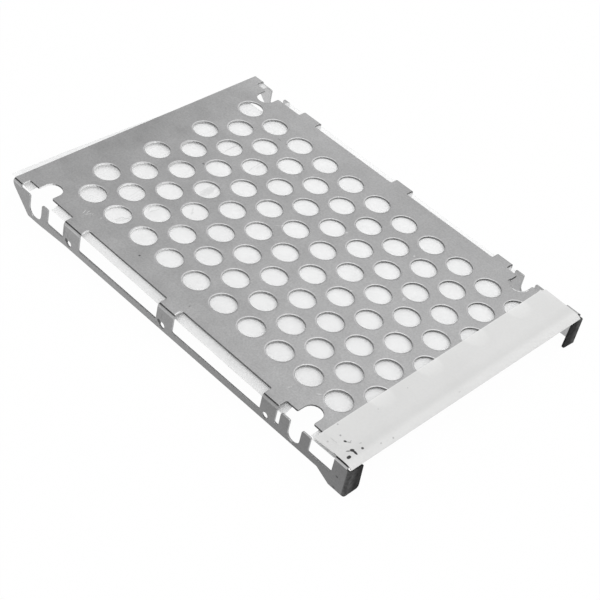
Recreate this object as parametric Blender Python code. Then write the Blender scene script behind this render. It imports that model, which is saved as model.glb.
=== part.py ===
"""Caddy for a laptop hard drive: a pierced steel tray folded from one sheet, lying plate side up,
with a thin insulating film under the plate and a white strip across its front end.

All lengths are in metres. A station is measured back from the front face of the lips, an offset
outwards from the middle, a depth down from the top of the plate, and a reach inwards along a lip.
"""

import math

import bmesh
import bpy
from mathutils import Vector
from mathutils.geometry import delaunay_2d_cdt

# Sheet and its bends
sheet_thickness = 0.0004
side_bend_inside = 0.0004
lip_bend_inside = 0.0001
tray_width = 0.0710
bend_facets = 4

# The drive's side screws, which the cross-shaped openings leave free
screw_front = 0.01415
screw_spacing = 0.0766

# Plate
plate_front = 0.00095
plate_past_screw = 0.00752      # from the back screw to the plate's back end
opening_bite = 0.00245          # how far the side openings bite in from the tray's side
plate_slot_width = 0.0042
plate_slot_reach = 0.00645      # in from the tray's side to the slot's rounded end

# Round holes in the plate
hole_diameter = 0.0057
hole_pitch = 0.0080             # along a line of holes
line_spacing = 0.0071           # from one line to the next
first_hole = 0.00935            # station of the front hole on every other line
hole_side_margin = 0.0012       # least metal between the holes and the slots' ends
hole_back_margin = 0.0040       # least metal between the holes and the plate's back end
hole_facets = 24

# Side walls, cut into struts, teeth and a rail
tooth_top = 0.00085
rail_top = 0.0044
rail_height = 0.00145
rail_dip = 0.00045              # how much deeper the rail is below the back screw
rail_dip_start = 0.00975        # these two lie in front of the back screw
rail_dip_end = 0.00175
back_tab_gap = 0.00505          # behind the back screw
back_tooth_gap = 0.00385        # in front of the back screw
back_slot_width = 0.00395
back_slot_land = 0.0007         # metal left below the slot
back_strut_width = 0.00495
back_strut_gap = 0.0090         # from the strut to the back screw
middle_strut_width = 0.0046
middle_strut_shift = 0.00192    # forwards from half way between the screws
front_strut_width = 0.00398
front_strut_gap = 0.0051        # from the front screw to the strut
front_teeth_gap_back = 0.00395  # behind the front screw
front_teeth_gap_front = 0.0039
front_slot_width = 0.0032
front_slot_land = 0.00055
front_tab_back = 0.0041
chamfer_start = 0.0013          # depth at which the back end starts to slope
chamfer_foot_gap = 0.00205      # behind the back screw, where the slope meets the rail
chamfer_round = 0.0020
pin_hole_diameter = 0.0015
pin_hole_drop = 0.0002          # below the top of the rail
pin_hole_setback = 0.0004       # from the middle of the strut above it
pin_hole_facets = 12

# Front feet and the lips folded in from them
foot_drop = 0.00177             # below the rail
foot_back = 0.0040
foot_ramp_back = 0.00745
lip_top = 0.00095
lip_reach_top = 0.00365
lip_reach_bottom = 0.0041
lip_round = 0.0007

# Corners left by the punch
punch_round = 0.0003
finest_steps = 2
most_steps = 6

# Use has bent the tray a little: its right side runs outwards, and its right foot forwards
right_flare_share = 0.0065      # outwards for each length that it runs forward
flare_station = 0.0630          # where the right side is still in its place
flare_margin = 0.00085          # how far inside the slots' ends the bent part starts
right_foot_forward = 0.00025

# Insulating film under the plate
film_thickness = 0.00015
film_gap = 0.0003
film_front = 0.0012
film_clearance_front = 0.0002   # to the side walls
film_clearance_left_back = 0.0010
film_tail = 0.00223             # how far the left corner pokes out behind the plate
film_tail_turn_drop = 0.0002    # where the tail's edge turns, from the left corner
film_tail_turn_inset = 0.0141
film_right_setback = 0.00047    # of the right corner from the plate's back end
film_notch_margin = 0.00145     # in front of and behind the plate's slot
film_notch_shift = 0.00022      # of the front notches, backwards
film_notch_past = 0.00075       # past the end of the plate's slot
film_notch_past_back_right = 0.00165
film_notch_round = 0.0016
film_ear_overlap = 0.0003       # how far the ears reach into the side walls' openings
film_ear_clearance = 0.0001

# White strip across the front end, flush with the tray's left side
strip_thickness = 0.00015
strip_gap = 0.0003
strip_right_inset = 0.0011
strip_back_left = 0.00950
strip_back_right = 0.01010
strip_curl_left = 0.0016        # station where the strip starts to curl down
strip_curl_right = 0.00145
strip_curl_radius = 0.0027
strip_curl_angle = math.radians(38)
strip_facets = 6
strip_sag = 0.0004              # of its left back corner, which has no metal under it
strip_sag_start = 0.0045

# What Blender's filler of flat outlines calls its way of leaving inner outlines open
inside_with_holes = 2
# Edges that turn more than this stay sharp
sharp_angle = math.radians(30)

# Worked out from the above: offsets
half_width = tray_width / 2
inner_wall = half_width - sheet_thickness
flat_half = inner_wall - side_bend_inside
opening_edge = half_width - opening_bite
plate_slot_end = half_width - plate_slot_reach
flare_start = plate_slot_end - flare_margin
right_flare_front = right_flare_share * flare_station
origin_offset = right_flare_front / 2

# Stations
screw_back = screw_front + screw_spacing
plate_back = screw_back + plate_past_screw
fold_station = lip_bend_inside + sheet_thickness
front_teeth_front = screw_front - front_teeth_gap_front
front_teeth_back = screw_front + front_teeth_gap_back
front_strut = (screw_front + front_strut_gap, screw_front + front_strut_gap + front_strut_width)
middle_strut_centre = (screw_front + screw_back) / 2 - middle_strut_shift
middle_strut = (middle_strut_centre - middle_strut_width / 2,
                middle_strut_centre + middle_strut_width / 2)
back_strut = (screw_back - back_strut_gap - back_strut_width, screw_back - back_strut_gap)
back_tooth_front = screw_back - back_tooth_gap
back_tab_front = screw_back + back_tab_gap
film_tail_left = plate_back + film_tail
origin_station = (film_tail_left - right_foot_forward) / 2

# Depths
rail_bottom = rail_top + rail_height
rail_bottom_back = rail_bottom + rail_dip
foot_bottom = rail_bottom + foot_drop


def bend_run(inside):
    """Length of flat sheet that goes into a square bend."""
    return (inside + sheet_thickness / 2) * math.pi / 2


def quarter_bend(distance, layer, inside):
    """Carry a point past a bend line: how far on it ends up, and how far down, for its layer."""
    outside = inside + sheet_thickness
    if distance <= 0:
        return distance, layer
    if distance >= bend_run(inside):
        return outside - layer, outside + distance - bend_run(inside)
    turn = math.pi / 2 * distance / bend_run(inside)
    return (outside - layer) * math.sin(turn), outside - (outside - layer) * math.cos(turn)


def on_wall(depth):
    """Offset on the flat blank of a point at this depth on a side wall."""
    return flat_half + bend_run(side_bend_inside) + depth - (half_width - flat_half)


def on_lip(reach):
    """Station on the flat blank of a point at this reach on a lip."""
    return 2 * fold_station - bend_run(lip_bend_inside) - reach


def bent_outwards(offset, station):
    """How far use has moved a point of the flat blank outwards."""
    return right_flare_share * (flare_station - max(station, 0)) if offset > flare_start else 0


def bent_forwards(offset, station):
    """How far use has moved a point of the flat blank forwards: most at the right foot's fold."""
    if offset <= flat_half:
        return 0
    still = foot_back if station > fold_station else on_lip(lip_reach_bottom)
    return right_foot_forward * max((still - station) / (still - fold_station), 0)


def placed(offset, station, depth):
    """The place of a point in the object's own frame."""
    return Vector((offset - origin_offset, station - origin_station, foot_bottom - depth))


def folded(offset, station, layer):
    """Place a point of the flat blank on the folded tray. Layer counts from the outer face."""
    out, depth = quarter_bend(abs(offset) - flat_half, layer, side_bend_inside)
    across = flat_half + out
    forward = fold_station - station
    if forward > 0:
        forward, inward = quarter_bend(forward, layer, lip_bend_inside)
        across = half_width - inward
    return placed(math.copysign(across, offset) + bent_outwards(offset, station),
                  fold_station - forward - bent_forwards(offset, station), depth)


def rounded(corners):
    """Outline through (offset, station, radius) corners, each turned with its own radius."""
    outline = []
    for place, (x, y, radius) in enumerate(corners):
        here = Vector((x, y))
        if radius == 0:
            outline.append(here)
            continue
        before = Vector(corners[place - 1][:2]) - here
        after = Vector(corners[(place + 1) % len(corners)][:2]) - here
        before.normalize()
        after.normalize()
        half_angle = before.angle(after) / 2
        centre = here + (before + after).normalized() * radius / math.sin(half_angle)
        start = here + before * radius / math.tan(half_angle) - centre
        turn = math.pi - 2 * half_angle
        if start.cross(before) > 0:
            turn = -turn
        steps = min(most_steps, finest_steps + int(radius / (2 * punch_round)))
        for step in range(steps + 1):
            angle = turn * step / steps
            outline.append(centre + Vector((
                start.x * math.cos(angle) - start.y * math.sin(angle),
                start.x * math.sin(angle) + start.y * math.cos(angle))))
    return outline


def ring(offset, station, diameter, facets):
    """Round hole in the flat blank."""
    angles = [2 * math.pi * (step + 1 / 2) / facets for step in range(facets)]
    return [Vector((offset + diameter / 2 * math.cos(angle), station + diameter / 2 * math.sin(angle)))
            for angle in angles]


def both_sides(outline):
    """The outline as drawn at the right, and its mirror image at the left."""
    return [outline, [Vector((-point.x, point.y)) for point in outline]]


def blank_outline():
    """Edge of the flat blank: plate, side walls, feet and lips."""
    right = rounded([
        (on_wall(lip_top), plate_front, 0),
        (on_wall(lip_top), on_lip(lip_reach_top), punch_round),
        (on_wall(foot_bottom), on_lip(lip_reach_bottom), lip_round),
        (on_wall(foot_bottom), foot_back, punch_round),
        (on_wall(rail_bottom), foot_ramp_back, punch_round),
        (on_wall(rail_bottom), screw_back - rail_dip_start, 0),
        (on_wall(rail_bottom_back), screw_back - rail_dip_end, 0),
        (on_wall(rail_bottom_back), screw_back + chamfer_foot_gap, punch_round),
        (on_wall(chamfer_start), plate_back, chamfer_round),
        (0, plate_back, 0),
        (0, plate_front, 0),
    ])
    right = [point for point in right if point.x > 0]
    return right + [Vector((-point.x, point.y)) for point in reversed(right)]


def plate_slot(station):
    """Corners of the round-ended slot that reaches into the plate beside a screw."""
    front = station - plate_slot_width / 2
    back = station + plate_slot_width / 2
    end = plate_slot_width / 2
    return [(opening_edge, front, punch_round), (plate_slot_end, front, end),
            (plate_slot_end, back, end), (opening_edge, back, punch_round)]


def wall_slot(station, width, depth):
    """Corners of the round-ended slot that reaches down a side wall beside a screw."""
    front = station - width / 2
    back = station + width / 2
    end = width / 2
    return [(on_wall(tooth_top), back, punch_round), (on_wall(depth), back, end),
            (on_wall(depth), front, end), (on_wall(tooth_top), front, punch_round)]


def back_opening():
    return rounded([
        (opening_edge, back_strut[1], punch_round), *plate_slot(screw_back),
        (opening_edge, back_tab_front, punch_round),
        (on_wall(tooth_top), back_tab_front, punch_round),
        *wall_slot(screw_back, back_slot_width, rail_bottom_back - back_slot_land),
        (on_wall(tooth_top), back_tooth_front, punch_round),
        (on_wall(rail_top), back_tooth_front, punch_round),
        (on_wall(rail_top), back_strut[1], punch_round),
    ])


def front_opening():
    return rounded([
        (opening_edge, front_tab_back, punch_round), *plate_slot(screw_front),
        (opening_edge, front_strut[0], punch_round),
        (on_wall(rail_top), front_strut[0], punch_round),
        (on_wall(rail_top), front_teeth_back, punch_round),
        (on_wall(tooth_top), front_teeth_back, punch_round),
        *wall_slot(screw_front, front_slot_width, rail_bottom - front_slot_land),
        (on_wall(tooth_top), front_teeth_front, punch_round),
        (on_wall(rail_top), front_teeth_front, punch_round),
        (on_wall(rail_top), front_tab_back, punch_round),
    ])


def side_window(front, back):
    return rounded([
        (opening_edge, front, punch_round), (opening_edge, back, punch_round),
        (on_wall(rail_top), back, punch_round), (on_wall(rail_top), front, punch_round),
    ])


def plate_holes():
    """Staggered lines of round holes: every other line starts half a pitch further back."""
    widest = plate_slot_end - hole_side_margin - hole_diameter / 2
    furthest = plate_back - hole_back_margin - hole_diameter / 2
    lines = int(2 * widest / line_spacing)
    holes = []
    for line in range(lines + 1):
        offset = line_spacing * (line - lines / 2)
        station = first_hole if line % 2 else first_hole + hole_pitch / 2
        while station < furthest:
            holes.append(ring(offset, station, hole_diameter, hole_facets))
            station += hole_pitch
    return holes


def pin_holes():
    """A small pierced hole in the rail below each strut."""
    holes = []
    for strut in (front_strut, middle_strut, back_strut):
        station = sum(strut) / 2 + pin_hole_setback
        hole = ring(on_wall(rail_top + pin_hole_drop), station, pin_hole_diameter, pin_hole_facets)
        holes.extend(both_sides(hole))
    return holes


def tray_openings():
    openings = plate_holes() + pin_holes()
    openings += both_sides(back_opening()) + both_sides(front_opening())
    openings += both_sides(side_window(front_strut[1], middle_strut[0]))
    openings += both_sides(side_window(middle_strut[1], back_strut[0]))
    return openings


def pierced_face(sheet, outline, openings):
    """Fill the outline with faces and leave the openings out."""
    points, loops = [], []
    for loop in [outline, *openings]:
        loops.append(range(len(points), len(points) + len(loop)))
        points.extend(loop)
    corners, _, faces, *_ = delaunay_2d_cdt(points, [], loops, inside_with_holes, 0)
    corners = [sheet.verts.new((*point, 0)) for point in corners]
    for face in faces:
        sheet.faces.new([corners[index] for index in face])


def score_bends(sheet):
    """Lines across the flat blank where its bends turn, so that each bend comes out round."""
    lines = []
    for step in range(bend_facets + 1):
        past = bend_run(side_bend_inside) * step / bend_facets
        lines += [((flat_half + past, 0, 0), (1, 0, 0)), ((-flat_half - past, 0, 0), (1, 0, 0))]
        past = bend_run(lip_bend_inside) * step / bend_facets
        lines.append(((0, fold_station - past, 0), (0, 1, 0)))
    for point, normal in lines:
        everything = [*sheet.verts, *sheet.edges, *sheet.faces]
        bmesh.ops.bisect_plane(sheet, geom=everything, dist=0, plane_co=point, plane_no=normal)


def finished(name, shape, material):
    """Turn the worked shape into an object with its material."""
    bmesh.ops.recalc_face_normals(shape, faces=shape.faces)
    mesh = bpy.data.meshes.new(name)
    shape.to_mesh(mesh)
    shape.free()
    mesh.materials.append(material)
    mesh.shade_smooth()
    mesh.set_sharp_from_angle(angle=sharp_angle)
    piece = bpy.data.objects.new(name, mesh)
    bpy.context.scene.collection.objects.link(piece)
    return piece


def thicken(sheet):
    """Extrude the flat faces and return the vertices of the new layer."""
    grown = bmesh.ops.extrude_face_region(sheet, geom=sheet.faces[:])
    return {item for item in grown["geom"] if isinstance(item, bmesh.types.BMVert)}


def make_tray(material):
    """Punch the flat blank, give it its thickness, then fold the walls down and the lips in."""
    sheet = bmesh.new()
    pierced_face(sheet, blank_outline(), tray_openings())
    score_bends(sheet)
    inner = thicken(sheet)
    for vertex in sheet.verts:
        layer = sheet_thickness if vertex in inner else 0
        vertex.co = folded(vertex.co.x, vertex.co.y, layer)
    return finished("steel_tray", sheet, material)


def film_notch(station, side, end):
    """Corners of the notch that clears a screw, from front to back along an edge of the film."""
    front = station - plate_slot_width / 2 - film_notch_margin
    back = station + plate_slot_width / 2 + film_notch_margin
    return [(side, front, 0), (end, front, film_notch_round),
            (end, back, film_notch_round), (side, back, 0)]


def film_side(clearance_back, back_notch_past, tail):
    """Corners along one edge of the film, from its front end to its tail, drawn at the right."""
    def edge(station):
        share = (station - film_front) / (tail - film_front)
        return (inner_wall - film_clearance_front
                + (film_clearance_front - clearance_back) * share)

    ear_front = front_tab_back + film_ear_clearance
    ear_back = front_teeth_front - film_ear_clearance
    ear = inner_wall + film_ear_overlap
    return [
        (edge(film_front), film_front, 0), (edge(ear_front), ear_front, 0),
        (ear, ear_front, punch_round), (ear, ear_back, punch_round), (edge(ear_back), ear_back, 0),
        *film_notch(screw_front + film_notch_shift, edge(screw_front),
                    plate_slot_end - film_notch_past),
        *film_notch(screw_back, edge(screw_back), plate_slot_end - back_notch_past),
        (edge(tail), tail, 0),
    ]


def make_film(material):
    """Thin film cut to the plate's shape, with a tail that pokes out behind the left corner."""
    right = film_side(film_clearance_front, film_notch_past_back_right,
                      plate_back - film_right_setback)
    left = film_side(film_clearance_left_back, film_notch_past, film_tail_left)
    turn = (left[-1][0] - film_tail_turn_inset, film_tail_left - film_tail_turn_drop, 0)
    corners = right + [(-x, y, radius) for x, y, radius in [turn] + left[::-1]]
    film = bmesh.new()
    depth = sheet_thickness + film_gap
    film.faces.new([film.verts.new(placed(*point, depth)) for point in rounded(corners)])
    bmesh.ops.translate(film, verts=list(thicken(film)), vec=(0, 0, -film_thickness))
    return finished("insulating_film", film, material)


def strip_profile(back, curl, sag):
    """Side view of the strip: flat over the plate, then curling down past its front edge."""
    outside = strip_curl_radius
    inside = outside - strip_thickness
    centre = strip_gap - inside
    upper, lower = [], []
    for line, radius in ((upper, outside), (lower, inside)):
        line += [(back, centre + radius - sag), (strip_sag_start, centre + radius)]
        for step in range(strip_facets + 1):
            angle = strip_curl_angle * step / strip_facets
            line.append((curl - radius * math.sin(angle), centre + radius * math.cos(angle)))
    return upper + lower[::-1]


def make_strip(material):
    """Loft the strip from its left end, past the side opening, to its right end."""
    strip = bmesh.new()
    sections = ((-half_width, strip_back_left, strip_curl_left, strip_sag),
                (-opening_edge, strip_back_left, strip_curl_left, 0),
                (half_width - strip_right_inset, strip_back_right, strip_curl_right, 0))
    rings = []
    for offset, back, curl, sag in sections:
        rings.append([strip.verts.new(placed(offset, station, -height))
                      for station, height in strip_profile(back, curl, sag)])
    for before, after in zip(rings, rings[1:]):
        edges = [strip.edges.get(pair) or strip.edges.new(pair)
                 for line in (before, after) for pair in zip(line, line[1:] + line[:1])]
        bmesh.ops.bridge_loops(strip, edges=edges)
    strip.faces.new(rings[0])
    strip.faces.new(rings[-1])
    return finished("front_strip", strip, material)


def plain_material(name, colour, roughness, metallic):
    material = bpy.data.materials.new(name)
    material.use_nodes = True
    shader = material.node_tree.nodes["Principled BSDF"]
    shader.inputs["Base Color"].default_value = (*colour, 1)
    shader.inputs["Roughness"].default_value = roughness
    shader.inputs["Metallic"].default_value = metallic
    return material


def clear_scene():
    for item in list(bpy.data.objects):
        bpy.data.objects.remove(item)


clear_scene()
make_tray(plain_material("zinc_plated_steel", (0.42, 0.42, 0.42), 0.45, 0.9))
make_film(plain_material("milky_film", (0.86, 0.87, 0.88), 0.4, 0))
make_strip(plain_material("white_strip", (0.82, 0.82, 0.81), 0.45, 0))
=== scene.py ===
import math

import bmesh
import bpy
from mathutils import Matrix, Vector


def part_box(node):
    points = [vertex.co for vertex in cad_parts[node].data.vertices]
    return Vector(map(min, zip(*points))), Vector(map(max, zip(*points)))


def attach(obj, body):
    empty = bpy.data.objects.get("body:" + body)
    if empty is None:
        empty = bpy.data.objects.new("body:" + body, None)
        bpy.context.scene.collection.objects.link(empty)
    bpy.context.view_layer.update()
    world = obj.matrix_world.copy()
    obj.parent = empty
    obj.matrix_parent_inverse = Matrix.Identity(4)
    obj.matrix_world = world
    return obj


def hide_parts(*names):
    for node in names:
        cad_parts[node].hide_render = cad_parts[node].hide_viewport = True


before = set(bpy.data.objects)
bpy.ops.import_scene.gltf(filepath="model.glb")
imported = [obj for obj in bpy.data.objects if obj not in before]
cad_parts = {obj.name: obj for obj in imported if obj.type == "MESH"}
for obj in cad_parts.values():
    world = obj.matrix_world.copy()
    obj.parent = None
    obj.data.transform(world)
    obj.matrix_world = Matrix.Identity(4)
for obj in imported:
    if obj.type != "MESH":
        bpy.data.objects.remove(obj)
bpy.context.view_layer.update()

mm = 0.001
nearestCut = 1e-7       # corners of a sheet that lie this close to a cut are on it, in metres
smoothFacing = 0.7      # faces of a sheet that face up or down at least this much are smooth


def newMaterial(name):
    material = bpy.data.materials.new(name)
    material.use_nodes = True
    tree = material.node_tree
    return material, tree, tree.nodes["Principled BSDF"]


def useMaterial(piece, material):
    piece.data.materials.clear()
    piece.data.materials.append(material)


def addNode(tree, kind, inputs=(), **settings):
    # inputs are values or sockets, in the order of the node's own sockets or by their names
    node = tree.nodes.new(kind)
    for key, value in settings.items():
        setattr(node, key, value)
    sockets = inputs.items() if isinstance(inputs, dict) else enumerate(inputs)
    for key, value in sockets:
        if isinstance(value, bpy.types.NodeSocket):
            tree.links.new(value, node.inputs[key])
        elif value is not None:
            node.inputs[key].default_value = value
    return node


def calculate(tree, operation, first, *others):
    # the operation on the first value and each of the others in turn
    total = first
    for other in others or (None,):
        total = addNode(tree, "ShaderNodeMath", (total, other), operation=operation).outputs[0]
    return total


def product(tree, *values):
    return calculate(tree, "MULTIPLY", *values)


def where(tree, tone, mask):
    # a tone that itself changes with the place, used where the mask is 1 and not where it is 0
    return calculate(tree, "POWER", tone, mask)


def ramp(tree, value, low, high, toLow, toHigh, smooth=False):
    # a value from low to high becomes one from toLow to toHigh, and stops there
    kind = "SMOOTHSTEP" if smooth else "LINEAR"
    settings = (value, low, high, toLow, toHigh)
    return addNode(tree, "ShaderNodeMapRange", settings, interpolation_type=kind).outputs[0]


def toned(tree, mask, tone):
    # 1 where the mask is 0, and one even tone where it is 1
    return ramp(tree, mask, 0, 1, 1, tone)


def varied(tree, pattern, tones):
    # noise spread over the tones, of which it reaches the ends in a few spots only
    return ramp(tree, pattern, 0.3, 0.7, *tones)


def split(tree, place):
    return addNode(tree, "ShaderNodeSeparateXYZ", (place,)).outputs


def vector(tree, operation, inputs, output=0):
    return addNode(tree, "ShaderNodeVectorMath", inputs, operation=operation).outputs[output]


def millimetres(tree, scale=(1, 1, 1), turn=0):
    # the place on the object in millimetres, stretched and turned for directional grain
    place = addNode(tree, "ShaderNodeTexCoord").outputs["Object"]
    scale = [factor / mm for factor in scale]
    settings = {"Vector": place, "Rotation": (0, 0, math.radians(turn)), "Scale": scale}
    return addNode(tree, "ShaderNodeMapping", settings).outputs[0]


def faceDirection(tree):
    return split(tree, addNode(tree, "ShaderNodeNewGeometry").outputs["True Normal"])


def makeMasks(tree, readings, table):
    # each mask is 0 at its first value and 1 at its second, by the reading that it names
    return {name: ramp(tree, readings[reading], empty, full, 0, 1)
            for name, (reading, empty, full) in table.items()}


def noise(tree, place, scale, detail=3, roughness=0.5, output=0):
    settings = {"Vector": place, "Scale": scale, "Detail": detail, "Roughness": roughness}
    return addNode(tree, "ShaderNodeTexNoise", settings).outputs[output]


def strokes(tree, place, marks, softness=0.25):
    # ellipses with soft edges: x, y, half length, half width in mm, angle in degrees, strength
    total = 0.0
    for x, y, length, width, angle, strength in marks:
        settings = {"Vector": place, "Location": (x, y, 0), "Rotation": (0, 0, math.radians(angle)),
                    "Scale": (length, width, 1 / mm)}
        local = addNode(tree, "ShaderNodeMapping", settings, vector_type="TEXTURE").outputs[0]
        away = vector(tree, "LENGTH", (local,), "Value")
        mark = ramp(tree, away, 1 - softness, 1 + softness, strength, 0.0, True)
        total = calculate(tree, "MAXIMUM", mark, total)
    return total


def wobbly(tree, place, scale, reach):
    # the same place pushed about a little, so that marks get ragged edges
    push = vector(tree, "SUBTRACT", (noise(tree, place, scale, 2, output="Color"), (0.5, 0.5, 0.5)))
    push = vector(tree, "SCALE", {0: push, "Scale": reach})
    return vector(tree, "ADD", (place, push))


def tinted(tree, color, tone):
    return vector(tree, "SCALE", {0: color, "Scale": tone})


def bumped(tree, height, distance, strength, normal=None):
    settings = {"Height": height, "Distance": distance, "Strength": strength, "Normal": normal}
    return addNode(tree, "ShaderNodeBump", settings).outputs[0]


# Steel tray: dull zinc-plated sheet
steel = {
    "thickness": 0.4,
    "color": (0.455, 0.455, 0.457),
    "metallic": 0.92,
    "roughness": (0.38, 0.48),
    "scuffAndHighlightRoughness": 0.1,        # that much rougher, and so on the lips
    "lipRoughness": 0.4,
    # scale, detail and roughness of the noise, and the tones that it spreads over
    "mottle": (0.16, 5, 0.6),
    "mottleTones": (0.93, 1.07),
    "grain": (2.6, 3, 0.6),
    "grainTones": (0.89, 1.11),
    "blotch": (1.1, 3, 0.6),      # on the lips
    "blotchSpread": (0.35, 0.65),
    "blotchTones": (0.7, 1.35),
    "pitting": (6.0, 4, 0.7),
    "pittingShare": 0.5,          # of the bumps
    "rolling": (1.0, 2),          # lines that rolling the sheet left along the caddy
    "rollingStretch": (3.2, 0.12, 3.2),
    "rollingTones": (0.98, 1.02),
    "bumpDepth": 0.00002,
    "bumpStrength": 0.25,
    "edgeRounding": 0.0002,
    # round holes, in two lattices
    "holes": ((-25.055, -36.775, 10), (-17.955, -40.775, 11)),    # first x, first y and rows
    "holePitch": (14.2, 8.0),
    "holeColumns": 4,
    "holeRadius": 2.85,
    "rimWidth": 0.34,             # of the rolled edge that the punch left round each hole
    "rimDrop": 0.12,
    "rimHighlightEnds": (-40, 50),         # painted highlight on the rims: x less y at the left back and at the right front, and the tones there
    "rimHighlightTones": (1.45, 1.75),
    # painted reflection: the plate's tone changes from its front to its back, along its right side
    "rightSide": (0, 30),
    "rightSideEnds": (-8, 48),
    "rightSideChange": (-0.1, 0.15),
    "wallEnds": (-48, 15),        # painted shade, darker to the front: y at the front and at the back of the side walls, and the tones there
    "wallTones": (0.46, 0.74),
    "innerTone": 1.12,            # of the right wall's inner face, which the light reaches
    "foldTurn": (0.7, 0.75),      # how far a face turns to the side, where the fold's dark line ends
    "foldTones": (0.2, 1.5),      # of the painted shade line along the side bends, and of the painted highlight line below it
    "footFoldTop": (7.25, 7.32),
    "footFoldTones": (1.75, 0.25),    # of the painted highlight line on top of the feet, and of the painted shadow line above it
    "bowTone": 1.35,              # painted light on the upright bend between foot and lip, beside the foot, and more in its middle
    "bowMiddleTone": 1.7,
    "pinHoles": (29.6, 1.0),      # y of the small holes in the left wall
    # painted shade in the walls of the small holes
    "pinWallTone": 0.15,
    "wallMarkAndShadeTone": 0.3,
    "lipEnds": (33.4, 34.6),      # painted shade on the lips: from the middle to where the lips turn into their folds, and the tones
    "lipTones": (0.083, 0.24),
    # painted highlight where the lips turn into their folds, and more painted shade at their inner ends
    "lipFoldTurn": (0.2, 0.5),
    "lipFoldTone": 2.1,
    "lipInnerEnd": (31.6, 32.1),
    "lipInnerTone": 0.5,
    "cutBack": (-58, -28),        # painted highlight: x less y over which the cut edges that face the front lose their light
    "cutBackTones": (2.1, 0.75),
    "cutFront": (-28, 40),
    "cutFade": 0.32,
    "cutSideTone": 0.34,          # painted shade of those that face the sides
    # tone of the scuffs and painted highlights
    "scuffAndHighlightTone": 2.0,
    # tone of the dark marks and painted shade
    "darkMarkAndShadeTone": 0.2,
    "shadeTone": 0.9,
    "ragged": 1.5,                # scale of the wobble in the marks' edges, and its reach on each kind
    "scuffAndHighlightWobble": 0.2,
    "darkMarkAndShadeWobble": 0.7,
    "wallMarkAndShadeWobble": 0.3,
    # where the masks start and where they are full, in mm or as a share of a turned face
    "masks": {
        "outside": ("x", -35.0, -35.2),
        "wallFacing": ("side", 0.6, 0.95),
        "cornerFront": ("y", -48.4, -48.6),
        "cornerBelow": ("z", 6.9, 6.6),
        "cornerLeft": ("x", -34.6, -34.8),
        "cornerFacing": ("side", 0.25, 0.4),
        "cornerTurned": ("side", 0.6, 0.5),
        "bowStart": ("side", 0.85, 0.9),
        "bendEnd": ("side", 0.995, 0.985),
        "bowMiddleStart": ("side", 0.55, 0.6),
        "bowMiddleEnd": ("side", 0.85, 0.8),
        "pinAcross": ("side", 0.5, 0.3),
        "pinBelow": ("up", 0.6, 0.3),
        "bendAbove": ("z", 6.6, 6.7),
        "bendStart": ("side", 0.3, 0.4),
        "footFront": ("y", -45.2, -45.6),
        "footAbove": ("z", 6.75, 6.85),
        "lipFront": ("y", -49.3, -49.7),
        "lipBelow": ("z", 7.0, 6.6),
        "cutAbove": ("z", 7.0, 7.2),
        "cutUpright": ("level", 0.5, 0.2),
        "cutRight": ("x", -35.0, -34.9),
        "cutSide": ("side", 0.5, 0.95),
        "innerFacing": ("right", -0.6, -0.95),
        "innerRight": ("x", 34.5, 34.7),
        "besidePin": ("fromPin", 0.95, 0.85),
    },
    # dark marks and painted shade on the left wall: y, z, half length, half width in mm, angle in degrees,
    # strength
    "wallMarksAndShade": [
        (-47.55, 3.37, 0.3, 0.24, 0, 0.8), (-47.48, 0.38, 0.35, 0.24, 0, 0.6),
        (5.47, 3.15, 0.18, 0.15, 0, 0.6), (2.45, 2.64, 0.18, 0.14, 0, 0.6),
        (1.9, 2.11, 0.16, 0.14, 0, 0.6), (31.3, 5.3, 0.2, 0.9, 0, 0.3),
        (30.4, 3.5, 0.4, 0.45, 0, 1.0), (1.8, 3.55, 0.4, 0.45, 0, 1.0),
        (30.1, 5.0, 0.16, 0.8, 0, 0.2), (1.2, 5.2, 0.2, 0.9, 0, 0.2),
        (-26.5, 5.2, 0.2, 0.8, 0, 0.15),
    ],
    # scuffs, and painted highlights along the near edges of the openings: x, y, half length, half width in
    # mm, angle in degrees, strength
    "scuffsAndHighlights": [
        (-30.4, 31.75, 0.65, 0.07, 15, 0.7), (-29.65, 31.3, 0.5, 0.07, 8, 0.7),
        (-30.1, 30.8, 0.7, 0.07, -22, 0.7), (-29.3, 30.3, 0.4, 0.07, 30, 0.4),
        (-28.8, 28.3, 0.4, 0.25, 30, 0.2), (29.1, -36.35, 0.5, 0.12, 100, 1.0),
        (29.47, -37.23, 0.5, 0.12, 125, 1.0), (30.17, -37.87, 0.5, 0.12, 150, 1.0),
        (31.1, -38.2, 0.5, 0.12, 174, 1.0), (-34.4, 26.75, 0.9, 0.12, 15, 0.9),
        (-33.4, 26.5, 0.4, 0.12, -50, 0.9), (-34.5, -1.6, 0.9, 0.12, 5, 0.9),
        (-33.55, -2.0, 0.4, 0.12, -50, 0.9), (1.2, 6.1, 1, 0.12, -35, 0.25),
        (11.9, -3.55, 0.3, 0.2, 10, 0.45), (18.7, -17, 0.3, 0.2, 10, 0.4),
        (27.6, 7.5, 0.35, 0.2, 0, 0.25), (-1.3, -16.5, 1.2, 0.12, -20, 0.3),
        (6.8, -24.8, 0.6, 0.35, 20, 0.25), (-23.5, -29.2, 1.1, 0.16, -38, 0.45),
        (-1.6, -30.2, 0.4, 0.2, 0, 0.3), (-26.9, -33.4, 0.55, 0.13, -45, 0.35),
        (-30.3, -28.7, 0.49, 0.13, -23, 0.3),
    ],
    # dark marks, and painted shade on a cut edge and at the right tab's end, with the same columns
    "darkMarksAndShade": [
        (31.6, -33.9, 1.5, 0.14, -3, 1.0), (34.4, -31.05, 1.0, 0.14, -10, 0.8),
        (-29.7, 15.3, 0.24, 0.18, 0, 1.0), (1.6, 30.3, 0.3, 0.18, 70, 0.6),
        (22.3, 25.3, 0.3, 0.16, 20, 0.5), (22.2, 27.5, 0.5, 0.12, 100, 0.5),
        (-24.4, 26.4, 0.8, 0.2, 150, 0.3), (-31.2, -1.5, 0.25, 0.2, 0, 0.4),
    ],
    "shades": [(2, 46, 22, 5, 0, 0.8)],    # painted shade, broad and faint, behind the last holes
    "shadeSoftness": 0.8,
}


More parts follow.
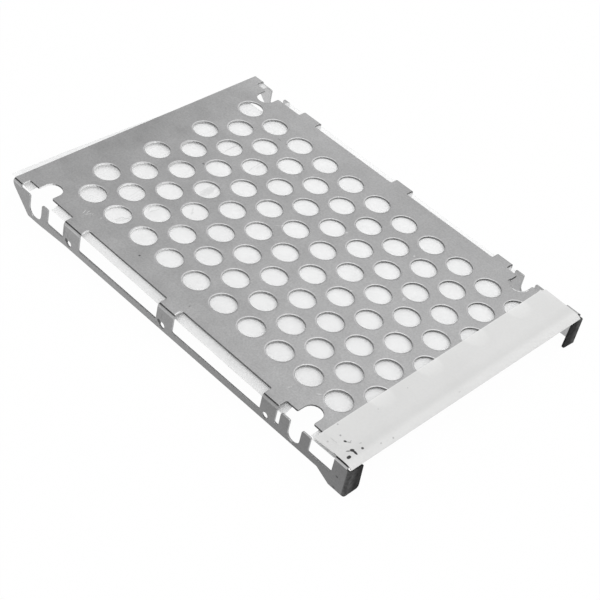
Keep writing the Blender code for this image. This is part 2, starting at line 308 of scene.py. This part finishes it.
def trayReadings(tree):
    # what the masks go by: the place in mm, how far it lies to the right front and from the small holes,
    # and which way its face turns
    x, y, z = split(tree, millimetres(tree))
    facing = faceDirection(tree)
    fromPins = [calculate(tree, "SUBTRACT", y, hole) for hole in steel["pinHoles"]]
    fromPins = [calculate(tree, "ABSOLUTE", distance) for distance in fromPins]
    return {
        "x": x, "y": y, "z": z, "right": facing[0], "up": facing[2],
        "side": calculate(tree, "ABSOLUTE", facing[0]),
        "level": calculate(tree, "ABSOLUTE", facing[2]),
        "fromMiddle": calculate(tree, "ABSOLUTE", x),
        "onward": calculate(tree, "SUBTRACT", x, y),
        "fromPin": calculate(tree, "MINIMUM", *fromPins),
    }


def wallTone(tree, reading, mask, corner):
    # painted shade on the side walls, the corner between foot and lip and the small holes, painted light on
    # the bends beside the feet and the right wall's inner face, and dark marks and painted shade on the left
    # wall
    onWall = product(tree, mask["outside"], mask["wallFacing"])
    onWall = calculate(tree, "MAXIMUM", onWall, product(tree, corner, mask["cornerFacing"]))
    wall = where(tree, ramp(tree, reading["y"], *steel["wallEnds"], *steel["wallTones"]), onWall)
    bow = product(tree, corner, mask["bowStart"], mask["bendEnd"])
    bowMiddle = product(tree, corner, mask["bowMiddleStart"], mask["bowMiddleEnd"])
    pin = product(tree, mask["besidePin"], mask["outside"], mask["pinAcross"], mask["pinBelow"])
    onLeft = addNode(tree, "ShaderNodeCombineXYZ", (reading["y"], reading["z"])).outputs[0]
    onLeft = wobbly(tree, onLeft, steel["ragged"], steel["wallMarkAndShadeWobble"])
    mark = product(tree, strokes(tree, onLeft, steel["wallMarksAndShade"]), mask["outside"])
    inner = product(tree, mask["innerFacing"], mask["innerRight"])
    return product(tree, wall, toned(tree, bow, steel["bowTone"]),
                   toned(tree, bowMiddle, steel["bowMiddleTone"]), toned(tree, pin, steel["pinWallTone"]),
                   toned(tree, mark, steel["wallMarkAndShadeTone"]), toned(tree, inner, steel["innerTone"]))


def foldTone(tree, reading, mask):
    # a painted shade line and a painted highlight line along the side bends and on top of the feet
    bend = product(tree, mask["outside"], mask["bendAbove"], mask["bendStart"], mask["bendEnd"])
    fold = ramp(tree, reading["side"], *steel["foldTurn"], *steel["foldTones"])
    onFoot = product(tree, mask["outside"], mask["footFront"], mask["footAbove"])
    foot = ramp(tree, reading["z"], *steel["footFoldTop"], *steel["footFoldTones"])
    return product(tree, where(tree, fold, bend), where(tree, foot, onFoot))


def lipTone(tree, reading, onLip):
    # painted shade that makes the lips dark, with painted light beside their folds and random blotches
    across = reading["fromMiddle"]
    blotch = noise(tree, millimetres(tree), *steel["blotch"])
    tone = product(tree, ramp(tree, across, *steel["lipEnds"], *steel["lipTones"]),
                   ramp(tree, reading["side"], *steel["lipFoldTurn"], 1, steel["lipFoldTone"]),
                   ramp(tree, across, *steel["lipInnerEnd"], steel["lipInnerTone"], 1),
                   ramp(tree, blotch, *steel["blotchSpread"], *steel["blotchTones"]))
    return where(tree, tone, onLip)


def cutTone(tree, reading, mask):
    # painted highlights and shade on the cut edges of the sheet: light ones at the left back, and darker ones
    # towards the right front
    onward = reading["onward"]
    toFront = product(tree, ramp(tree, onward, *steel["cutBack"], *steel["cutBackTones"]),
                      ramp(tree, onward, *steel["cutFront"], 1, steel["cutFade"]))
    tone = addNode(tree, "ShaderNodeMix", (mask["cutSide"], None, toFront, steel["cutSideTone"])).outputs[0]
    return where(tree, tone, product(tree, mask["cutAbove"], mask["cutUpright"], mask["cutRight"]))


def placeTone(tree):
    # painted light and shade by the part of the tray, and a mask of the lips
    reading = trayReadings(tree)
    mask = makeMasks(tree, reading, steel["masks"])
    corner = product(tree, mask["cornerFront"], mask["cornerBelow"], mask["cornerLeft"])
    onLip = calculate(tree, "MAXIMUM", product(tree, mask["lipFront"], mask["lipBelow"]),
                      product(tree, corner, mask["cornerTurned"]))
    tone = product(tree, wallTone(tree, reading, mask, corner), foldTone(tree, reading, mask),
                   lipTone(tree, reading, onLip), cutTone(tree, reading, mask))
    return tone, onLip


def fromHole(tree):
    # distance to the middle of the nearest hole
    place = split(tree, millimetres(tree))
    distances = []
    for firstX, firstY, rows in steel["holes"]:
        offsets = []
        for axis, first, count in ((0, firstX, steel["holeColumns"]), (1, firstY, rows)):
            pitch = steel["holePitch"][axis]
            offset = calculate(tree, "SUBTRACT", place[axis], first)
            number = calculate(tree, "ROUND", calculate(tree, "DIVIDE", offset, pitch))
            number = calculate(tree, "MINIMUM", calculate(tree, "MAXIMUM", number, 0), count - 1)
            offsets.append(calculate(tree, "SUBTRACT", offset, product(tree, number, pitch)))
        local = addNode(tree, "ShaderNodeCombineXYZ", offsets).outputs[0]
        distances.append(vector(tree, "LENGTH", (local,), "Value"))
    return calculate(tree, "MINIMUM", *distances)


def steelMaterial():
    material, tree, shader = newMaterial("zincSteel")
    place = millimetres(tree)
    x, y = split(tree, place)[:2]
    mottle = noise(tree, place, *steel["mottle"])
    grain = noise(tree, place, *steel["grain"])
    rolling = noise(tree, millimetres(tree, steel["rollingStretch"]), *steel["rolling"])
    # scuffs, and painted highlights along the near edges of the openings
    scuffAndHighlight = strokes(tree, wobbly(tree, place, steel["ragged"], steel["scuffAndHighlightWobble"]), steel["scuffsAndHighlights"])
    # dark marks and painted shade
    dark = strokes(tree, wobbly(tree, place, steel["ragged"], steel["darkMarkAndShadeWobble"]), steel["darkMarksAndShade"])
    shade = strokes(tree, place, steel["shades"], steel["shadeSoftness"])
    byPlace, onLip = placeTone(tree)
    # painted reflection, lighter towards the back along the plate's right side
    rightSideReflection = product(tree, ramp(tree, x, *steel["rightSide"], 0, 1),
                     ramp(tree, y, *steel["rightSideEnds"], *steel["rightSideChange"]))
    # painted highlight on the rolled rims round the holes, lighter towards the right front
    rimEnd = steel["holeRadius"] + steel["rimWidth"]
    slope = ramp(tree, fromHole(tree), steel["holeRadius"], rimEnd, 1, 0)
    rimHighlight = ramp(tree, calculate(tree, "SUBTRACT", x, y), *steel["rimHighlightEnds"], *steel["rimHighlightTones"])
    tone = product(tree, varied(tree, mottle, steel["mottleTones"]), varied(tree, grain, steel["grainTones"]),
                   varied(tree, rolling, steel["rollingTones"]), toned(tree, scuffAndHighlight, steel["scuffAndHighlightTone"]),
                   toned(tree, dark, steel["darkMarkAndShadeTone"]), byPlace, calculate(tree, "ADD", rightSideReflection, 1),
                   toned(tree, shade, steel["shadeTone"]), where(tree, rimHighlight, slope))
    tree.links.new(tinted(tree, steel["color"], tone), shader.inputs["Base Color"])
    roughness = calculate(tree, "ADD", varied(tree, mottle, steel["roughness"]),
                          product(tree, scuffAndHighlight, steel["scuffAndHighlightRoughness"]),
                          product(tree, onLip, steel["lipRoughness"]))
    tree.links.new(roughness, shader.inputs["Roughness"])
    shader.inputs["Metallic"].default_value = steel["metallic"]
    pitting = product(tree, noise(tree, place, *steel["pitting"]), steel["pittingShare"])
    height = calculate(tree, "ADD", pitting, rolling, grain)
    rounded = addNode(tree, "ShaderNodeBevel", {"Radius": steel["edgeRounding"]}, samples=6).outputs[0]
    fine = bumped(tree, height, steel["bumpDepth"], steel["bumpStrength"], rounded)
    drop = product(tree, slope, slope, -steel["rimDrop"])
    tree.links.new(bumped(tree, drop, mm, 1.0, fine), shader.inputs["Normal"])
    return material


# Film under the plate: milky, thin, a little creased across its width
film = {
    "color": (0.955, 0.958, 0.96),
    "alpha": (0.62, 0.38),        # under the plate, and where it lies open or shows clearer
    "roughness": (0.32, 0.5),
    "cloud": (0.25, 4, 0.6),      # scale, detail and roughness of the noise
    "cloudTones": (0.97, 1.03),
    "line": (1.0, 3, 0.65),       # faint lines across the film, with their turn in degrees
    "lineStretch": (0.25, 2.4, 1),
    "lineTurn": 12,
    "lineSpread": (0.42, 0.62),
    "lineTone": 0.985,
    "patch": (0.09, 1),           # scale and detail of the patches where those lines show
    "patchSpread": (0.45, 0.6),
    # painted shade beside the creases
    "creaseShadeTone": 0.6,
    "creaseShadeWobble": (0.8, 0.8),   # scale and reach
    # painted shade, darker towards the left and the front; darker too at the back left, where the film is
    # clearer
    "leftTone": 0.95,
    "frontTone": 0.955,
    "backLeftTone": 0.94,
    # painted light: tone of the left edge, in front of the screw opening and behind it, and what the others
    # add
    "leftEdgeTones": (0.02, 0.12),
    "tailTone": 1.06,
    "rightEdgeTone": 0.04,
    "ridges": 0.8,                # share of the lines in the bumps, beside the waves
    "waves": (0.8, 2, 0.5),
    "bumpDepth": 0.00004,
    "bumpStrength": 0.4,
    # where the masks start and where they are full, in mm
    "masks": {
        "leftEdge": ("x", -32.0, -33.0),
        "rightEdge": ("x", 32.4, 33.2),
        "openLeft": ("x", -32.2, -32.8),
        "openRight": ("x", 32.6, 33.2),
        "behindScrew": ("y", 30, 33),
        "tail": ("y", 50.9, 51.3),
        "left": ("x", 5, -30),
        "front": ("y", -10, -46),
        "leftHalf": ("x", 15, -10),
        "backHalf": ("y", 0, 25),
    },
    # painted shade beside the creases: x, y, half length, half width in mm, angle in degrees, strength
    "creaseShades": [
        (-25.5, 26.8, 1.0, 0.13, -5, 1.0), (-23.95, 26.1, 0.95, 0.13, -42, 1.0),
        (-25.2, 26.1, 1.3, 0.35, -15, 0.35), (-23.4, 25.6, 0.8, 0.12, 30, 0.6),
        (-17.4, 24.7, 1.4, 0.14, -12, 0.8), (-17.9, 25.6, 1.0, 0.12, 20, 0.6),
        (-18.4, 24.0, 1.6, 1.0, -10, 0.15), (-3.6, 23.1, 2.3, 0.85, 6, 0.5),
        (-3.0, 24.0, 2.4, 0.12, 4, 0.5), (11.0, 31.5, 2.3, 0.14, 4, 0.6),
        (11.2, 23.8, 2.5, 0.12, 7, 0.5), (12.4, 23.1, 1.8, 0.5, 5, 0.25),
        (-17.3, 31.2, 2.2, 0.1, 8, 0.35), (-17.0, 30.5, 2.2, 0.1, 8, 0.3),
        (-16.7, 29.8, 2.0, 0.1, 8, 0.25), (-10.4, 20.4, 1.0, 0.14, 40, 0.5),
        (-11.3, 19.6, 0.5, 0.2, 10, 0.5),
    ],
    # shape of the sheet in mm
    "thickness": 0.08,
    "step": 2.0,                  # between the cuts that let it bend
    "edgeCuts": (-33.0, -33.4, -33.8, -34.2),    # finer cuts where its left edge droops
    "edgeReach": (-34.6, -33.0),  # x over which the edge droops, and how far
    "edgeDroop": 0.9,
    "droopFront": (-39, -33),     # y over which the droop sets in and dies out
    "droopBack": (30, 50),
    "ripple": 0.03,               # height of the waves in it, and how fast they turn along x and y
    "rippleAlong": (0.22, 0.55),
    "rippleAcross": 0.13,
    "rippleStart": 0.3,
    "leastHang": 0.04,
    "acrossEnds": (-28, 12),      # x from which the left and the right hang hold
    # how far the film hangs below the plate, by place along the caddy, at the left and at the right
    "along": (-48, -36, -22, -8, 4, 16, 24, 27, 31, 38, 44, 48, 52),
    "left": (0.30, 0.36, 0.34, 0.26, 0.18, 0.16, 0.20, 0.14, 0.30, 0.60, 0.80, 0.70, 0.50),
    "right": (0.20, 0.16, 0.12, 0.08, 0.05, 0.04, 0.05, 0.06, 0.12, 0.28, 0.32, 0.30, 0.30),
    "notchEnd": (27, 28.3),       # x of the right back notch's inner end, which lies further in
    "notchFront": 36,
    "notchShift": 0.4,
}


def between(knots, values, at):
    # the value at a place, in step from knot to knot
    at = min(max(at, knots[0]), knots[-1])
    for low, high, first, last in zip(knots, knots[1:], values, values[1:]):
        if at <= high:
            return first + (last - first) * (at - low) / (high - low)
    return values[-1]


def filmHang(x, y):
    left, right = (between(film["along"], film[side], y) for side in ("left", "right"))
    hang = left + (right - left) * between(film["acrossEnds"], (0, 1), x)
    turnX, turnY = film["rippleAlong"]
    across = math.sin(film["rippleAcross"] * x - film["rippleStart"])
    hang += film["ripple"] * math.sin(turnY * y + turnX * x) * across
    edge = between(film["edgeReach"], (1, 0), x)
    edge *= between(film["droopFront"], (0, 1), y) * between(film["droopBack"], (1, 0), y)
    return max(hang, film["leastHang"]) + film["edgeDroop"] * edge


def bentCopy(name, node, cuts, move, material):
    # a copy of a thin sheet, cut into finer facets and then moved corner by corner
    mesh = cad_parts[node].data.copy()
    sheet = bmesh.new()
    sheet.from_mesh(mesh)
    for axis, position in cuts:
        normal = Vector((1 - axis, axis, 0))
        everything = sheet.verts[:] + sheet.edges[:] + sheet.faces[:]
        bmesh.ops.bisect_plane(sheet, geom=everything, plane_co=normal * position * mm, plane_no=normal,
                               dist=nearestCut)
    for corner in sheet.verts:
        corner.co = Vector(move(*(corner.co / mm))) * mm
    sheet.to_mesh(mesh)
    sheet.free()
    for face in mesh.polygons:
        face.use_smooth = abs(face.normal.z) > smoothFacing
    piece = bpy.data.objects.new(name, mesh)
    bpy.context.scene.collection.objects.link(piece)
    useMaterial(piece, material)
    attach(piece, "root")
    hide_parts(node)


def makeFilm(material):
    lowest, highest = (Vector(corner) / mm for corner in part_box("insulating_film"))
    middle = (lowest[2] + highest[2]) / 2
    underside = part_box("steel_tray")[1][2] / mm - steel["thickness"]
    notchStart, notchEnd = film["notchEnd"]

    def move(x, y, z):
        top = underside - filmHang(x, y)
        if notchStart < x < notchEnd and y > film["notchFront"]:
            x -= film["notchShift"]
        return x, y, top if z > middle else top - film["thickness"]

    cuts = [(0, position) for position in film["edgeCuts"]]
    for axis in (0, 1):
        count = int((highest[axis] - lowest[axis]) / film["step"])
        cuts += [(axis, lowest[axis] + film["step"] * (number + 1)) for number in range(count)]
    bentCopy("filmSheet", "insulating_film", cuts, move, material)


def filmMaterial():
    material, tree, shader = newMaterial("milkyFilm")
    place = millimetres(tree)
    x, y = split(tree, place)[:2]
    mask = makeMasks(tree, {"x": x, "y": y}, film["masks"])
    cloud = noise(tree, place, *film["cloud"])
    line = noise(tree, millimetres(tree, film["lineStretch"], film["lineTurn"]), *film["line"])
    patch = ramp(tree, noise(tree, place, *film["patch"]), *film["patchSpread"], 0, 1, True)
    line = product(tree, ramp(tree, line, *film["lineSpread"], 0, 1), patch)
    # painted shade beside the creases
    creaseShade = strokes(tree, wobbly(tree, place, *film["creaseShadeWobble"]), film["creaseShades"])
    # painted light on the left and right edges and on the tail
    leftEdge = product(tree, mask["leftEdge"], ramp(tree, mask["behindScrew"], 0, 1, *film["leftEdgeTones"]))
    edges = calculate(tree, "ADD", leftEdge, toned(tree, mask["tail"], film["tailTone"]),
                      product(tree, mask["rightEdge"], film["rightEdgeTone"]))
    backLeft = product(tree, mask["leftHalf"], mask["backHalf"])
    tone = product(tree, toned(tree, backLeft, film["backLeftTone"]), toned(tree, creaseShade, film["creaseShadeTone"]),
                   edges, varied(tree, cloud, film["cloudTones"]), toned(tree, line, film["lineTone"]),
                   toned(tree, mask["left"], film["leftTone"]), toned(tree, mask["front"], film["frontTone"]))
    tree.links.new(tinted(tree, film["color"], tone), shader.inputs["Base Color"])
    tree.links.new(varied(tree, cloud, film["roughness"]), shader.inputs["Roughness"])
    openLeft = product(tree, mask["openLeft"], mask["behindScrew"])
    clearer = calculate(tree, "MAXIMUM", openLeft, mask["openRight"], backLeft)
    tree.links.new(ramp(tree, clearer, 0, 1, *film["alpha"]), shader.inputs["Alpha"])
    height = calculate(tree, "ADD", product(tree, line, film["ridges"]), noise(tree, place, *film["waves"]))
    tree.links.new(bumped(tree, height, film["bumpDepth"], film["bumpStrength"]), shader.inputs["Normal"])
    return material


# Strip across the front end: whitish plastic with a few dark specks
strip = {
    "color": (0.745, 0.745, 0.74),
    "alpha": 0.9,
    "roughness": (0.38, 0.52),
    "cloud": (0.12, 3, 0.5),      # scale, detail and roughness of the noise, and its tones
    "cloudTones": (0.98, 1.02),
    "fine": (1.6, 3, 0.6),
    "fineTones": (0.983, 1.017),
    "bumpDepth": 0.00002,
    "bumpStrength": 0.3,
    # painted shade and highlight by place from the back edge to the curl
    "tones": ((-39, 1.0), (-45.5, 0.985), (-47.6, 0.95), (-48.9, 1.03), (-50.4, 1.0)),
    # painted light, lighter towards the right
    "rightTone": 1.03,
    "endTone": 0.12,              # painted shadow on the left cut end, beside the foot
    "speckTone": 0.03,
    "glowTone": 1.075,            # painted light where a hole lies under the strip, with its blur in mm
    "glowBlur": 0.5,
    "glowEnds": (-43.8, -40.8),   # y over which the glow grows, and its strength
    "glowStrength": (0.3, 1),
    "backEdge": (0.0086, -40.25),    # painted light along the back edge: its slope across the caddy, and its y in the middle
    "backEdgeWidth": (0.2, 0.45),
    "backEdgeTone": 1.04,
    # where the masks start and where they are full, in mm or as a share of a turned face
    "masks": {
        "right": ("x", -10, 34),
        "endFacing": ("facing", -0.5, -0.8),
        "endFront": ("y", -45.2, -45.6),
    },
    # x, y, half length, half width in mm, angle in degrees, strength
    "specks": [
        (-31.95, -44.8, 0.32, 0.22, -60, 1.0), (-31.6, -45.3, 0.55, 0.15, -55, 0.45),
        (-31.1, -45.4, 0.35, 0.1, 20, 0.35), (-33.1, -46.85, 0.6, 0.17, -25, 0.65),
        (-32.45, -47.1, 0.45, 0.36, -30, 1.0), (-32.4, -47.8, 0.6, 0.26, 85, 1.0),
        (-34.2, -47.9, 0.52, 0.34, 5, 1.0), (-30.5, -47.9, 0.29, 0.25, 0, 0.95),
        (-31.6, -43.25, 0.22, 0.18, 0, 0.45), (-34.5, -42.8, 0.22, 0.18, 0, 0.25),
        (-33.5, -43.3, 0.9, 0.1, -88, 0.15), (-29.9, -46.8, 0.35, 0.15, 0, 0.2),
        (-30.0, -41.0, 0.22, 0.18, 30, 0.3), (-23.7, -49.5, 0.22, 0.16, 0, 0.3),
        (-26.7, -49.1, 0.25, 0.15, 0, 0.25), (-4.1, -49.2, 0.3, 0.14, 0, 0.15),
        (-11.9, -42.5, 0.16, 0.14, 0, 0.25), (-20.8, -42.9, 0.16, 0.14, 0, 0.2),
    ],
    "speckWobble": (2.5, 0.2),    # scale and reach
    "speckSoftness": 0.14,
    # shape of the sheet in mm
    "front": -50.3,
    "width": 10.3,
    "rightEnd": 34,
    "slant": 0.3,                 # of the right end, which runs outwards to the back
    "cornerStart": 32.6,          # from here its back corner falls short
    "cornerReach": 1.6,
    "cornerBack": 0.5,
    "cuts": (32.6, 33.4, 33.9),
}


def makeStrip(material):
    def move(x, y, z):
        back = (y - strip["front"]) / strip["width"]
        corner = max((x - strip["cornerStart"]) / strip["cornerReach"], 0)
        y -= strip["cornerBack"] * corner ** 2 * back
        if x > strip["rightEnd"]:
            x += strip["slant"] * back
        return x, y, z

    cuts = [(0, position) for position in strip["cuts"]]
    bentCopy("stripSheet", "front_strip", cuts, move, material)


def stripMaterial():
    material, tree, shader = newMaterial("whiteStrip")
    place = millimetres(tree)
    x, y = split(tree, place)[:2]
    mask = makeMasks(tree, {"x": x, "y": y, "facing": faceDirection(tree)[0]}, strip["masks"])
    cloud = noise(tree, place, *strip["cloud"])
    fine = noise(tree, place, *strip["fine"])
    # painted shade and highlight from the back edge to the curl
    along = varied(tree, cloud, strip["cloudTones"])
    for (start, first), (end, last) in zip(strip["tones"], strip["tones"][1:]):
        along = product(tree, along, ramp(tree, y, start, end, 1, last / first, True))
    speck = strokes(tree, wobbly(tree, place, *strip["speckWobble"]), strip["specks"], strip["speckSoftness"])
    # painted light where holes lie under the strip
    inner, outer = (steel["holeRadius"] + share * strip["glowBlur"] for share in (-1, 1))
    glow = product(tree, ramp(tree, fromHole(tree), inner, outer, 1, 0, True),
                   ramp(tree, y, *strip["glowEnds"], *strip["glowStrength"]))
    # painted light along the strip's back edge
    slope, middle = strip["backEdge"]
    fromEdge = calculate(tree, "SUBTRACT", calculate(tree, "ADD", product(tree, x, slope), middle), y)
    tone = product(tree, along, varied(tree, fine, strip["fineTones"]),
                   toned(tree, mask["right"], strip["rightTone"]), toned(tree, speck, strip["speckTone"]),
                   toned(tree, product(tree, mask["endFacing"], mask["endFront"]), strip["endTone"]),
                   ramp(tree, fromEdge, *strip["backEdgeWidth"], strip["backEdgeTone"], 1),
                   toned(tree, glow, strip["glowTone"]))
    tree.links.new(tinted(tree, strip["color"], tone), shader.inputs["Base Color"])
    tree.links.new(varied(tree, cloud, strip["roughness"]), shader.inputs["Roughness"])
    shader.inputs["Alpha"].default_value = strip["alpha"]
    tree.links.new(bumped(tree, fine, strip["bumpDepth"], strip["bumpStrength"]), shader.inputs["Normal"])
    return material


finishes = {"steel_tray": steelMaterial(), "insulating_film": filmMaterial(), "front_strip": stripMaterial()}
for node, material in finishes.items():
    useMaterial(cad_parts[node], material)
makeFilm(finishes["insulating_film"])
makeStrip(finishes["front_strip"])
print("film and strip are laid and materials are on")


# Floor, light and room
studio = {
    "floorSize": 4.0,
    "floorColor": (0.9, 0.9, 0.9, 1),
    "floorRoughness": 0.9,
    "white": (1, 1, 1, 1),
    "whiteShare": 0.98,           # how much of the floor seen is plain white, the rest keeps the shadow
    "worldStrength": 0.6,
    # azimuth and elevation in degrees, distance and size in metres, power in watts
    "lights": {
        "overhead": (216, 84, 1.5, 1.2, 7.0),
        "key": (300, 50, 1.5, 0.8, 3.8),
        "panel": (8, 38, 1.5, 1.2, 2.7),
    },
}


def makeFloor():
    half = studio["floorSize"] / 2
    corners = [(-half, -half, 0), (half, -half, 0), (half, half, 0), (-half, half, 0)]
    mesh = bpy.data.meshes.new("floor")
    mesh.from_pydata(corners, [], [(0, 1, 2, 3)])
    floor = bpy.data.objects.new("floor", mesh)
    bpy.context.scene.collection.objects.link(floor)
    material, tree, shader = newMaterial("paleFloor")
    shader.inputs["Base Color"].default_value = studio["floorColor"]
    shader.inputs["Roughness"].default_value = studio["floorRoughness"]
    rays = addNode(tree, "ShaderNodeLightPath").outputs
    seen = [rays[kind] for kind in ("Is Camera Ray", "Is Glossy Ray", "Is Transmission Ray")]
    share = product(tree, calculate(tree, "MAXIMUM", *seen), studio["whiteShare"])
    white = addNode(tree, "ShaderNodeEmission", (studio["white"], 1.0)).outputs[0]
    mix = addNode(tree, "ShaderNodeMixShader", (share, shader.outputs[0], white)).outputs[0]
    tree.links.new(mix, tree.nodes["Material Output"].inputs["Surface"])
    useMaterial(floor, material)


def makeLight(name, azimuth, elevation, distance, size, power):
    light = bpy.data.lights.new(name, "AREA")
    light.size = size
    light.energy = power
    lamp = bpy.data.objects.new(name, light)
    azimuth, elevation = math.radians(azimuth), math.radians(elevation)
    flat = math.cos(elevation)
    away = Vector((flat * math.cos(azimuth), flat * math.sin(azimuth), math.sin(elevation)))
    lamp.location = away * distance
    lamp.rotation_euler = away.to_track_quat("Z", "Y").to_euler()
    bpy.context.scene.collection.objects.link(lamp)


def makeWorld():
    world = bpy.data.worlds.new("softRoom")
    world.use_nodes = True
    background = world.node_tree.nodes["Background"]
    background.inputs["Color"].default_value = studio["white"]
    background.inputs["Strength"].default_value = studio["worldStrength"]
    bpy.context.scene.world = world


makeFloor()
makeWorld()
for name, settings in studio["lights"].items():
    makeLight(name, *settings)
print("studio is up")


# Camera at the photo's place
view = {
    "location": (-0.203547, -0.150820, 0.217371),
    "rotation": (47.59754, -10.22553, -45.10002),
    "lens": 95.164,
    "sensor": 36,
    "shift": (-0.5 / 600, 0.5 / 600),    # half a pixel
    "nearest": 0.01,
}


def makeCamera():
    data = bpy.data.cameras.new("photoCamera")
    data.lens = view["lens"]
    data.sensor_width = view["sensor"]
    data.shift_x, data.shift_y = view["shift"]
    data.clip_start = view["nearest"]
    camera = bpy.data.objects.new("photoCamera", data)
    camera.location = view["location"]
    camera.rotation_euler = [math.radians(angle) for angle in view["rotation"]]
    bpy.context.scene.collection.objects.link(camera)
    bpy.context.scene.camera = camera


makeCamera()
bpy.context.scene.view_settings.view_transform = "Standard"
print("camera is set")
